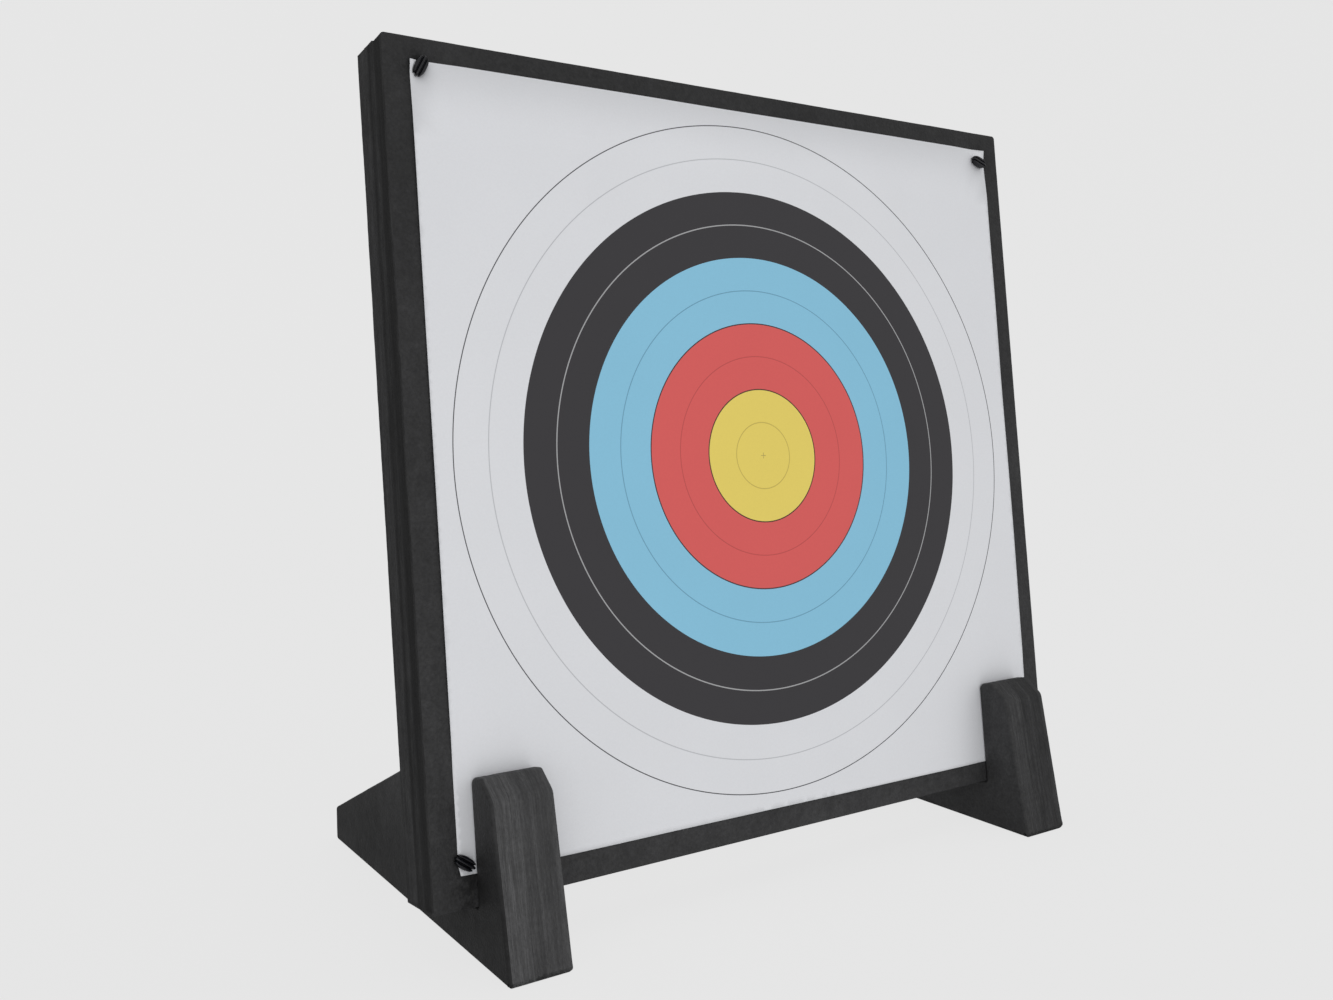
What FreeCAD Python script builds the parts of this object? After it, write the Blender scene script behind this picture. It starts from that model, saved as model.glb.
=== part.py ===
import FreeCAD, Part
import math
import os

# Foam archery target on two slotted foam feet.
# Millimetres. +X to the right seen from the front, +Y to the back, +Z up.
# The origin is on the floor, midway between the feet in X and midway along
# their length in Y. The target board leans back in the feet's slots.

V = FreeCAD.Vector

# ---------------------------------------------------------------- dimensions
# board, measured in its own plane
BOARD_W = 905.5            # width
BOARD_UP = 444.0           # from the middle of the rings up to the top edge
BOARD_DOWN = 449.0         # from the middle of the rings down to the bottom edge
LEAN_DEG = 6.0             # lean back from the vertical
RING_X = -1.5              # middle of the rings, across
RING_Z = 504.3             # and its height above the floor, on the board's face
# every board of foam is welded up from the same sheets, from back to front
THIN = 7.0                 # four thin sheets
CORE = 15.5                # one middle sheet
THICK = 26.5               # one thick face sheet
SHEETS = [("thin_sheet_1", THIN), ("thin_sheet_2", THIN), ("thin_sheet_3", THIN),
          ("thin_sheet_4", THIN), ("core_sheet", CORE), ("thick_sheet", THICK)]
BOARD_T = sum(t for _, t in SHEETS)
BOARD_CORNER_R = 1.2       # corners of the board's outline
BOARD_FACE_CORNER_R = 4.5  # and of its face sheet, which is rubbed rounder
BOARD_EDGE_R = 1.0         # softened edges of its front and back faces
SHEET_EDGE_C = 0.35        # small break on each sheet's cut edge, at the weld lines

# paper target face
PAPER_LEFT, PAPER_RIGHT = -423.4, 425.2
PAPER_TOP = 419.2
PAPER_BOTTOM_LEFT, PAPER_BOTTOM_RIGHT = -416.8, -423.2   # the lower edge is trimmed a little out of square
PAPER_CORNER_X, PAPER_CORNER_UP = -388.0, 4.0   # and its left end, from here on, rises by this much
PAPER_T = 0.4
PAPER_GAP = 0.02           # air behind the sheet

# foot: a slice of the same board material, on edge
FOOT_W = BOARD_T
FOOT_X = 370.0             # middle of each foot, either side
FOOT_EDGE_R = 3.5          # rounded edges of the foot's left face
FOOT_EDGE_R_RIGHT = 1.2    # and of its right face
FOOT_FRONT = -118.5        # front toe, measured in Y from the board's face at ring height
FOOT_BACK = 403.0          # heel
HEEL_H = 43.0              # height of the heel's upright end
SLOPE_Y, SLOPE_Z = 160.8, 150.0   # a point on the sloping back
POST_TOP_BACK = 130.2      # height of the post along the board, from the slot's floor
POST_P3 = (-56.5, 191.8)   # front end of the post's flat top
POST_P4 = (-81.0, 173.8)   # lower end of the chamfer, top of the front face
SLOT_FRONT_GAP = 0.8       # slot wall to the board's face, with the paper in between
SLOT_BACK_GAP = 0.3
SLOT_FLOOR_GAP = 0.2
SLOT_R = 0.7               # the slot's inner corners, smaller than the board's own edge
HEEL_TOP_FLAT = 16.0       # blunted top of the rear support

# push-in pins
PIN_R = 2.0
PIN_HOLE_R = 2.05
PIN_LEN = 43.0             # shaft length below the paper
PIN_TIP = 6.0              # length of the point
HEAD_L, HEAD_W, HEAD_H = 25.0, 13.5, 6.5
COLLAR_R, COLLAR_H = 3.6, 1.2
PINS = {                   # across, up the board, turn of the head
    "pin_top_left": (-412.7, 412.4, 61.0),
    "pin_top_right": (412.0, 401.6, -20.0),
    "pin_bottom_left": (-417.6, -401.4, -36.0),
    "pin_bottom_right": (414.6, -402.0, 62.0),
}

# ---------------------------------------------------------------- frames
lean = math.radians(LEAN_DEG)
UP = V(0, math.sin(lean), math.cos(lean))          # up the board
OUT = V(0, -math.cos(lean), math.sin(lean))        # out of its face
TOE_R = 2.0                                        # rounding under the toe, which draws its tip in
_toe = 0.25 * math.pi - 0.5 * math.atan((POST_P4[0] - FOOT_FRONT) / POST_P4[1])
TOE_IN = TOE_R / math.tan(_toe) - TOE_R
Y_MID = (FOOT_FRONT + TOE_IN + FOOT_BACK) / 2.0    # the feet's middle goes to Y = 0
RING = V(RING_X, -Y_MID, RING_Z)
# board frame: x across from the board's middle, y up the board, z out of the face
BOARD_PL = FreeCAD.Placement(V(0, RING.y, RING.z), FreeCAD.Rotation(V(1, 0, 0), 90.0 - LEAN_DEG))


def to_world(shape):
    s = shape.copy()
    s.Placement = BOARD_PL.multiply(s.Placement)
    return s


def save(name, shape):
    if len(shape.Solids) == 1:
        shape = shape.Solids[0]
    if not shape.isValid():
        raise RuntimeError(name + " is not valid")
    shape.exportStep("parts/%s.step" % name)
    b = shape.BoundBox
    print("%-28s %9.1f mm3  x %.1f..%.1f  y %.1f..%.1f  z %.1f..%.1f"
          % (name, shape.Volume, b.XMin, b.XMax, b.YMin, b.YMax, b.ZMin, b.ZMax))


def rounded_wire(pts, radii, to3d):
    """closed outline with an arc at each corner"""
    n = len(pts)
    cut = []
    for i in range(n):
        p, a, b = pts[i], pts[i - 1], pts[(i + 1) % n]
        ua = (a[0] - p[0], a[1] - p[1])
        ub = (b[0] - p[0], b[1] - p[1])
        la, lb = math.hypot(*ua), math.hypot(*ub)
        ua = (ua[0] / la, ua[1] / la)
        ub = (ub[0] / lb, ub[1] / lb)
        r = radii[i]
        half = 0.5 * math.acos(max(-1, min(1, ua[0] * ub[0] + ua[1] * ub[1])))
        d = r / math.tan(half)
        t1 = (p[0] + ua[0] * d, p[1] + ua[1] * d)
        t2 = (p[0] + ub[0] * d, p[1] + ub[1] * d)
        bis = (ua[0] + ub[0], ua[1] + ub[1])
        lbis = math.hypot(*bis)
        h = r / math.sin(half)
        c = (p[0] + bis[0] / lbis * h, p[1] + bis[1] / lbis * h)
        m = (c[0] - bis[0] / lbis * r, c[1] - bis[1] / lbis * r)
        cut.append((t1, m, t2))
    edges = []
    for i in range(n):
        t1, m, t2 = cut[i]
        edges.append(Part.Arc(to3d(t1), to3d(m), to3d(t2)).toShape())
        nxt = cut[(i + 1) % n][0]
        edges.append(Part.LineSegment(to3d(t2), to3d(nxt)).toShape())
    return Part.Wire(edges)


def edges_on(shape, axis, value):
    out = []
    for e in shape.Edges:
        b = e.BoundBox
        lo = {"x": b.XMin, "z": b.ZMin}[axis]
        hi = {"x": b.XMax, "z": b.ZMax}[axis]
        if abs(lo - value) < 1e-4 and abs(hi - value) < 1e-4:
            out.append(e)
    return out


# ---------------------------------------------------------------- board sheets
def pin_holes(depth_from, depth_to):
    """cylinders for the pins' holes between two depths behind the face"""
    cyl = []
    for x, y, _ in PINS.values():
        cyl.append(Part.makeCylinder(PIN_HOLE_R, depth_to - depth_from, V(x, y, -depth_to), V(0, 0, 1)))
    return cyl


def board_sheet(z0, z1, front, back):
    half = BOARD_W / 2.0
    pts = [(-half, -BOARD_DOWN), (half, -BOARD_DOWN), (half, BOARD_UP), (-half, BOARD_UP)]
    corner = BOARD_FACE_CORNER_R if front else BOARD_CORNER_R
    wire = rounded_wire(pts, [corner] * 4, lambda p: V(p[0], p[1], z0))
    solid = Part.Face(wire).extrude(V(0, 0, z1 - z0))
    if front:
        solid = solid.makeFillet(BOARD_EDGE_R, edges_on(solid, "z", z1))
    else:
        solid = solid.makeChamfer(SHEET_EDGE_C, edges_on(solid, "z", z1))
    if back:
        solid = solid.makeFillet(BOARD_EDGE_R, edges_on(solid, "z", z0))
    else:
        solid = solid.makeChamfer(SHEET_EDGE_C, edges_on(solid, "z", z0))
    return solid


# ---------------------------------------------------------------- foot outline
def board_point(up, out):
    """Y, Z of a point in the board frame, at height `up` above the rings and `out` from the face"""
    p = RING + UP * up + OUT * out
    return (p.y, p.z)


def foot_outline():
    floor_up = -BOARD_DOWN - SLOT_FLOOR_GAP
    y0 = -Y_MID
    slot_front = board_point(floor_up, SLOT_FRONT_GAP)
    slot_back = board_point(floor_up, -BOARD_T - SLOT_BACK_GAP)
    post_back = board_point(-BOARD_DOWN + POST_TOP_BACK, SLOT_FRONT_GAP)
    # sloping back, carried up to the slot's rear wall and blunted there
    heel = (FOOT_BACK + y0, HEEL_H)
    sp = (SLOPE_Y + y0, SLOPE_Z)
    m = (sp[1] - heel[1]) / (sp[0] - heel[0])
    # rear wall: slot_back + s * (UP.y, UP.z);   slope: z = heel_z + m * (y - heel_y)
    s = (heel[1] + m * (slot_back[0] - heel[0]) - slot_back[1]) / (UP.z - m * UP.y)
    s -= HEEL_TOP_FLAT * 0.45
    wall_top = (slot_back[0] + s * UP.y, slot_back[1] + s * UP.z)
    flat_end_y = (wall_top[1] - heel[1]) / m + heel[0]
    flat_end = (flat_end_y, wall_top[1])
    pts = [
        (FOOT_FRONT + y0, 0.0),                 # toe
        (FOOT_BACK + y0, 0.0),                  # heel
        heel,
        flat_end,
        wall_top,
        slot_back,
        slot_front,
        post_back,
        (POST_P3[0] + y0, POST_P3[1]),
        (POST_P4[0] + y0, POST_P4[1]),
    ]
    radii = [TOE_R, 5.0, 6.0, 8.0, 5.0, SLOT_R, SLOT_R, 8.0, 7.0, 12.0]
    return pts, radii


def foot_sheets(x_left, prefix):
    pts, radii = foot_outline()
    out = {}
    x = x_left
    for i, (name, t) in enumerate(SHEETS):
        wire = rounded_wire(pts, radii, lambda p: V(x, p[0], p[1]))
        solid = Part.Face(wire).extrude(V(t, 0, 0))
        first, last = i == 0, i == len(SHEETS) - 1
        a, b = edges_on(solid, "x", x), edges_on(solid, "x", x + t)
        solid = solid.makeFillet(FOOT_EDGE_R, a) if first else solid.makeChamfer(SHEET_EDGE_C, a)
        b = edges_on(solid, "x", x + t)
        solid = solid.makeFillet(FOOT_EDGE_R_RIGHT, b) if last else solid.makeChamfer(SHEET_EDGE_C, b)
        out[prefix + name] = solid
        x += t
    return out


# ---------------------------------------------------------------- pins
def make_pin(x, y, turn):
    """one moulded pin: pointed shaft, collar, and an oblong ribbed head, z out of the face"""
    z0 = PAPER_GAP + PAPER_T
    zb = z0 + COLLAR_H
    prof = [V(0, 0, -PIN_LEN), V(0.4, 0, -PIN_LEN), V(PIN_R, 0, -PIN_LEN + PIN_TIP), V(PIN_R, 0, z0 + 0.02),
            V(COLLAR_R, 0, z0 + 0.02), V(COLLAR_R, 0, zb + 1.0), V(0, 0, zb + 1.0), V(0, 0, -PIN_LEN)]
    shaft = Part.Face(Part.makePolygon(prof)).revolve(V(0, 0, 0), V(0, 0, 1), 360)
    outline = Part.Ellipse(V(0, 0, zb), HEAD_L / 2.0, HEAD_W / 2.0).toShape()
    head = Part.Face(Part.Wire([outline])).extrude(V(0, 0, HEAD_H))
    top = [ed for ed in head.Edges if abs(ed.BoundBox.ZMin - (zb + HEAD_H)) < 1e-4]
    head = head.makeFillet(2.4, top)
    low = [ed for ed in head.Edges if abs(ed.BoundBox.ZMax - zb) < 1e-4]
    head = head.makeFillet(0.7, low)
    # two finger grooves along the head leave three ribs
    for gy in (-2.8, 2.8):
        groove = Part.makeCylinder(1.1, HEAD_L + 10, V(-HEAD_L / 2 - 5, gy, zb + HEAD_H + 0.25), V(1, 0, 0))
        head = head.cut(groove)
    pin = shaft.fuse(head)
    pin.rotate(V(0, 0, 0), V(0, 0, 1), turn)
    pin.translate(V(x, y, 0))
    return pin


# ---------------------------------------------------------------- build
os.makedirs("parts", exist_ok=True)
nodes = {}

# board: sheets from the back (thin) to the face (thick)
z = -BOARD_T
for i, (name, t) in enumerate(SHEETS):
    sheet = board_sheet(z, z + t, i == len(SHEETS) - 1, i == 0)
    if z + t > -PIN_LEN:                        # the pins reach into this sheet
        near = max(0.0, -(z + t))
        far = min(PIN_LEN + 0.5, -z)
        if near == 0.0:
            near = -1.0
        sheet = sheet.cut(pin_holes(near, far + (1.0 if far >= -z - 1e-6 else 0.0)))
    nodes["board_" + name] = to_world(sheet)
    z += t

# paper face
bend = PAPER_BOTTOM_LEFT + (PAPER_BOTTOM_RIGHT - PAPER_BOTTOM_LEFT) * (PAPER_CORNER_X - PAPER_LEFT) / (PAPER_RIGHT - PAPER_LEFT)
corners = [V(PAPER_LEFT, PAPER_BOTTOM_LEFT + PAPER_CORNER_UP, PAPER_GAP), V(PAPER_CORNER_X, bend, PAPER_GAP),
           V(PAPER_RIGHT, PAPER_BOTTOM_RIGHT, PAPER_GAP),
           V(PAPER_RIGHT, PAPER_TOP, PAPER_GAP), V(PAPER_LEFT, PAPER_TOP, PAPER_GAP)]
paper = Part.Face(Part.makePolygon(corners + corners[:1])).extrude(V(0, 0, PAPER_T))
paper = paper.cut(pin_holes(-2.0, 1.0))
nodes["paper_target_face"] = to_world(paper)

# feet: the same sheets on edge, the thin ones on the left of each foot
for side, cx in (("left", -FOOT_X), ("right", FOOT_X)):
    nodes.update(foot_sheets(cx - FOOT_W / 2.0, "foot_%s_" % side))

# pins
for name, (x, y, turn) in PINS.items():
    nodes[name] = to_world(make_pin(x, y, turn))

for name in sorted(nodes):
    save(name, nodes[name])

all_ = Part.makeCompound(list(nodes.values())).BoundBox
print("whole: x %.2f..%.2f  y %.2f..%.2f  z %.2f..%.2f" % (all_.XMin, all_.XMax, all_.YMin, all_.YMax, all_.ZMin, all_.ZMax))
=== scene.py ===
import bpy
import math
import numpy as np
from mathutils import Matrix, Vector
from mathutils.geometry import delaunay_2d_cdt


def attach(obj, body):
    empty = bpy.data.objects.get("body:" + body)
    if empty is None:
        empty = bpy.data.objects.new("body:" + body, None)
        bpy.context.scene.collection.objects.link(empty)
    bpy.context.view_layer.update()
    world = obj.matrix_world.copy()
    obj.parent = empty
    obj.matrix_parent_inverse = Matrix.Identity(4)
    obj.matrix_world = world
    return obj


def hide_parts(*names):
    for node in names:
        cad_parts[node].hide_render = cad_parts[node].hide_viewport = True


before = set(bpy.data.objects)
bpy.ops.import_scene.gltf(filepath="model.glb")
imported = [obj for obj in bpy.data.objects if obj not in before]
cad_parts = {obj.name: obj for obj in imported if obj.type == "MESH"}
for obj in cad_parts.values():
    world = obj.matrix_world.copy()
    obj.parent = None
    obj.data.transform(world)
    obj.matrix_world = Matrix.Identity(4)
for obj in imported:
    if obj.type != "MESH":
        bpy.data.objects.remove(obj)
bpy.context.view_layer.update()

# Foam archery target on two slotted foam feet. Metres, same frame as the construction.

MM = 0.001
SEED = 71

# ---------------------------------------------------------------- sizes (millimetres)
BOARD_W, BOARD_UP, BOARD_DOWN = 905.5, 444.0, 449.0
LEAN = math.radians(6.0)
RING_Z = 504.3
PRINT_X, PRINT_Y = -2.3, -1.15          # middle of the printed rings on the board
SHEETS = [("thin_sheet_1", 7.0), ("thin_sheet_2", 7.0), ("thin_sheet_3", 7.0),
          ("thin_sheet_4", 7.0), ("core_sheet", 15.5), ("thick_sheet", 26.5)]
BOARD_T = sum(t for _, t in SHEETS)
PAPER_LEFT, PAPER_RIGHT, PAPER_TOP = -423.4, 425.2, 419.2
PAPER_BOTTOM_LEFT, PAPER_BOTTOM_RIGHT = -416.8, -423.2
PAPER_CORNER_X, PAPER_CORNER_UP = -388.0, 4.0
PAPER_T, PAPER_GAP = 0.4, 0.02
FOOT_X, FOOT_FRONT, FOOT_BACK, HEEL_H = 370.0, -118.5, 403.0, 43.0
SLOPE_Y, SLOPE_Z = 160.8, 150.0
POST_TOP_BACK = 130.2
POST_P3, POST_P4 = (-56.5, 191.8), (-81.0, 173.8)
TOE_R, SLOT_R = 2.0, 0.7
BOARD_EDGE_R, FOOT_EDGE_R, FOOT_EDGE_R_RIGHT = 1.0, 3.5, 1.2
BOARD_CORNER_R, BOARD_FACE_CORNER_R = 1.2, 4.5
_toe = 0.25 * math.pi - 0.5 * math.atan((POST_P4[0] - FOOT_FRONT) / POST_P4[1])
TOE_IN = TOE_R / math.tan(_toe) - TOE_R
Y_MID = (FOOT_FRONT + TOE_IN + FOOT_BACK) / 2.0
PIN_R, PIN_HOLE_R, PIN_LEN, PIN_TIP = 2.0, 2.05, 43.0, 6.0
HEAD_L, HEAD_W, HEAD_H, COLLAR_R, COLLAR_H = 25.0, 13.5, 6.5, 3.6, 1.2
PINS = {
    "pin_top_left": (-412.7, 412.4, 61.0),
    "pin_top_right": (412.0, 401.6, -20.0),
    "pin_bottom_left": (-417.6, -401.4, -36.0),
    "pin_bottom_right": (414.6, -402.0, 62.0),
}
UP = np.array([0.0, math.sin(LEAN), math.cos(LEAN)])
OUT = np.array([0.0, -math.cos(LEAN), math.sin(LEAN)])
ORIGIN = np.array([0.0, -Y_MID, RING_Z])


def on_board(p):
    """board frame (x across, y up, z out of the face, mm) to the row frame in metres"""
    p = np.asarray(p, float)
    return (ORIGIN + p[:, :1] * np.array([1.0, 0, 0]) + p[:, 1:2] * UP + p[:, 2:3] * OUT) * MM


def on_foot(p):
    """foot outline frame (Y, Z, X in mm) to the row frame in metres"""
    p = np.asarray(p, float)
    return np.stack([p[:, 2], p[:, 0], p[:, 1]], 1) * MM


# ---------------------------------------------------------------- small helpers
def smooth01(t):
    t = np.clip(t, 0, 1)
    return t * t * (3 - 2 * t)


def vnoise(p, size, seed):
    """smooth value noise in -1..1 at points p"""
    q = np.asarray(p, float) / size + 57.3
    i = np.floor(q).astype(np.int64)
    f = q - i
    f = f * f * (3 - 2 * f)
    total = np.zeros(len(q))
    for dx in (0, 1):
        for dy in (0, 1):
            for dz in (0, 1):
                n = ((i[:, 0] + dx) * 374761393 + (i[:, 1] + dy) * 668265263 + (i[:, 2] + dz) * 1442695041 + seed * 982451653) & 0xFFFFFFFF
                n = ((n ^ (n >> 13)) * 1274126177) & 0xFFFFFFFF
                n = (n ^ (n >> 16)) & 0xFFFFFFFF
                h = n / 2147483647.5 - 1.0
                w = (f[:, 0] if dx else 1 - f[:, 0]) * (f[:, 1] if dy else 1 - f[:, 1]) * (f[:, 2] if dz else 1 - f[:, 2])
                total += w * h
    return total


def rounded_outline(pts, radii, step):
    """closed outline, anticlockwise, with arcs at the corners: points, outward normals"""
    n = len(pts)
    area = sum(pts[i - 1][0] * pts[i][1] - pts[i][0] * pts[i - 1][1] for i in range(n))
    if area < 0:
        pts, radii = pts[::-1], radii[::-1]
    P = [np.array(p, float) for p in pts]
    corners = []
    for i in range(n):
        p, a, b = P[i], P[i - 1], P[(i + 1) % n]
        ua, ub = (a - p) / np.linalg.norm(a - p), (b - p) / np.linalg.norm(b - p)
        convex = (p - a)[0] * (b - p)[1] - (p - a)[1] * (b - p)[0] > 0
        half = 0.5 * math.acos(max(-1, min(1, float(ua @ ub))))
        r = radii[i]
        d = r / math.tan(half)
        bis = (ua + ub) / np.linalg.norm(ua + ub)
        c = p + bis * (r / math.sin(half))
        corners.append((p + ua * d, c, p + ub * d, r, convex))
    out_p, out_n = [], []
    for i in range(n):
        t1, c, t2, r, convex = corners[i]
        a1 = math.atan2(*(t1 - c)[::-1])
        a2 = math.atan2(*(t2 - c)[::-1])
        da = (a2 - a1 + math.pi) % (2 * math.pi) - math.pi
        k = max(4, int(math.ceil(abs(da) * max(r, 2.0) / 0.9)))
        for j in range(k + 1):
            a = a1 + da * j / k
            d = np.array([math.cos(a), math.sin(a)])
            out_p.append(c + d * r)
            out_n.append(d if convex else -d)
        nxt = corners[(i + 1) % n][0]
        seg = nxt - t2
        length = np.linalg.norm(seg)
        m = max(1, int(round(length / step)))
        nn = np.array([seg[1], -seg[0]]) / length
        for j in range(1, m):
            out_p.append(t2 + seg * j / m)
            out_n.append(nn)
    return np.array(out_p), np.array(out_n)


def fill(loop, holes, spacing, keep_off, seed):
    """triangles that fill a loop, with inner points on a jittered grid; holes are (x, y, r, n)"""
    verts = [tuple(p) for p in loop]
    n = len(loop)
    edges = [(i, (i + 1) % n) for i in range(n)]
    rings = []
    for x, y, r, k in holes:
        start = len(verts)
        for j in range(k):
            a = 2 * math.pi * j / k
            verts.append((x + r * math.cos(a), y + r * math.sin(a)))
        edges += [(start + j, start + (j + 1) % k) for j in range(k)]
        rings.append(list(range(start, start + k)))
    if spacing:
        lo, hi = loop.min(0), loop.max(0)
        nx, ny = int((hi[0] - lo[0]) / spacing) + 2, int((hi[1] - lo[1]) / spacing) + 2
        gx, gy = np.meshgrid(np.arange(nx), np.arange(ny), indexing="ij")
        g = np.stack([lo[0] + (gx + 0.5 * (gy % 2)).ravel() * spacing, lo[1] + gy.ravel() * spacing * 0.9], 1)
        rng = np.random.default_rng(seed)
        g += rng.uniform(-0.12, 0.12, g.shape) * spacing
        # inside the loop, and clear of its edge
        inside = np.zeros(len(g), bool)
        x0, y0 = loop[:, 0], loop[:, 1]
        x1, y1 = np.roll(x0, -1), np.roll(y0, -1)
        for a, b, c, d in zip(x0, y0, x1, y1):
            hit = ((b > g[:, 1]) != (d > g[:, 1]))
            if abs(d - b) > 1e-12:
                inside ^= hit & (g[:, 0] < (c - a) * (g[:, 1] - b) / (d - b) + a)
        g = g[inside]
        near = np.full(len(g), np.inf)
        for a, b, c, d in zip(x0, y0, x1, y1):
            sx, sy = c - a, d - b
            t = np.clip(((g[:, 0] - a) * sx + (g[:, 1] - b) * sy) / max(sx * sx + sy * sy, 1e-12), 0, 1)
            near = np.minimum(near, np.hypot(g[:, 0] - a - t * sx, g[:, 1] - b - t * sy))
        keep = near > keep_off
        for x, y, r, k in holes:
            keep &= np.hypot(g[:, 0] - x, g[:, 1] - y) > r + keep_off * 0.7
        verts += [tuple(p) for p in g[keep]]
    v, _, f, vo, _, _ = delaunay_2d_cdt([Vector(p) for p in verts], edges, [list(range(n))], 1, 1e-6)
    v = np.array([tuple(p) for p in v])
    tri = []
    for t in f:
        if len(t) != 3:
            continue
        c = v[list(t)].mean(0)
        if any(math.hypot(c[0] - x, c[1] - y) < r * 0.98 for x, y, r, k in holes):
            continue
        tri.append(tuple(t))
    # where each input point went
    where = {}
    for j, src in enumerate(vo):
        for s in src:
            where[s] = j
    return v, tri, [where[i] for i in range(n)], [[where[i] for i in ring] for ring in rings]


def make_object(name, verts, faces, mats, face_mat=None, uvs=None, smooth=True):
    me = bpy.data.meshes.new(name)
    me.from_pydata([tuple(v) for v in verts], [], faces)
    for m in mats:
        me.materials.append(m)
    if face_mat is not None:
        me.polygons.foreach_set("material_index", np.asarray(face_mat, np.int32))
    if smooth:
        me.polygons.foreach_set("use_smooth", np.ones(len(me.polygons), bool))
    loops = np.zeros(len(me.loops), np.int32)
    me.loops.foreach_get("vertex_index", loops)
    for uv_name, uv in (uvs or {}).items():
        layer = me.uv_layers.new(name=uv_name)
        layer.data.foreach_set("uv", np.asarray(uv, np.float32)[loops].ravel())
    me.validate()
    me.update()
    ob = bpy.data.objects.new(name, me)
    bpy.context.scene.collection.objects.link(ob)
    return ob


# ---------------------------------------------------------------- materials
def lin(*rgb):
    """8-bit screen colour to scene-linear"""
    out = []
    for c in rgb:
        c = c / 255.0
        out.append(c / 12.92 if c <= 0.04045 else ((c + 0.055) / 1.055) ** 2.4)
    return tuple(out) + (1.0,)


class Mat:
    """a small builder for node materials"""

    def __init__(self, name):
        self.m = bpy.data.materials.new(name)
        self.m.use_nodes = True
        self.t = self.m.node_tree
        self.t.nodes.clear()
        self.out = self.t.nodes.new("ShaderNodeOutputMaterial")
        self.bsdf = self.t.nodes.new("ShaderNodeBsdfPrincipled")
        self.t.links.new(self.bsdf.outputs[0], self.out.inputs[0])

    def node(self, kind, **props):
        n = self.t.nodes.new(kind)
        for k, v in props.items():
            setattr(n, k, v)
        return n

    def put(self, socket, value):
        if hasattr(value, "is_output"):
            self.t.links.new(value, socket)
        else:
            socket.default_value = value

    def math(self, op, a, b=0.0, clamp=False):
        n = self.node("ShaderNodeMath", operation=op, use_clamp=clamp)
        self.put(n.inputs[0], a)
        self.put(n.inputs[1], b)
        return n.outputs[0]

    def ramp01(self, value, lo, hi, a=0.0, b=1.0, kind="SMOOTHSTEP"):
        n = self.node("ShaderNodeMapRange", interpolation_type=kind)
        self.put(n.inputs[0], value)
        n.inputs[1].default_value, n.inputs[2].default_value = lo, hi
        n.inputs[3].default_value, n.inputs[4].default_value = a, b
        return n.outputs[0]

    def mix(self, fac, a, b, blend="MIX"):
        n = self.node("ShaderNodeMix", data_type="RGBA", blend_type=blend)
        self.put(n.inputs[0], fac)
        self.put(n.inputs[6], a)
        self.put(n.inputs[7], b)
        return n.outputs[2]

    def coords(self, scale=(1, 1, 1), uv=None):
        if uv:
            src = self.node("ShaderNodeUVMap", uv_map=uv).outputs[0]
        else:
            src = self.node("ShaderNodeTexCoord").outputs["Object"]
        n = self.node("ShaderNodeMapping")
        self.t.links.new(src, n.inputs[0])
        n.inputs["Scale"].default_value = scale
        return n.outputs[0]

    def noise(self, vec, scale, detail=3.0, rough=0.55, distort=0.0):
        n = self.node("ShaderNodeTexNoise")
        self.put(n.inputs["Vector"], vec)
        n.inputs["Scale"].default_value = scale
        n.inputs["Detail"].default_value = detail
        n.inputs["Roughness"].default_value = rough
        n.inputs["Distortion"].default_value = distort
        return n.outputs[0]

    def cells(self, vec, scale, feature="F1", randomness=1.0, smooth=None):
        n = self.node("ShaderNodeTexVoronoi", feature=feature)
        self.put(n.inputs["Vector"], vec)
        n.inputs["Scale"].default_value = scale
        n.inputs["Randomness"].default_value = randomness
        if smooth is not None:
            n.inputs["Smoothness"].default_value = smooth
        return n.outputs[0]

    def bump(self, height, distance, strength=1.0, normal=None):
        n = self.node("ShaderNodeBump")
        n.inputs["Strength"].default_value = strength
        n.inputs["Distance"].default_value = distance
        self.put(n.inputs["Height"], height)
        if normal is not None:
            self.t.links.new(normal, n.inputs["Normal"])
        return n.outputs[0]


def scaled(rgb, k):
    return (rgb[0] * k, rgb[1] * k, rgb[2] * k, 1.0)


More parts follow.
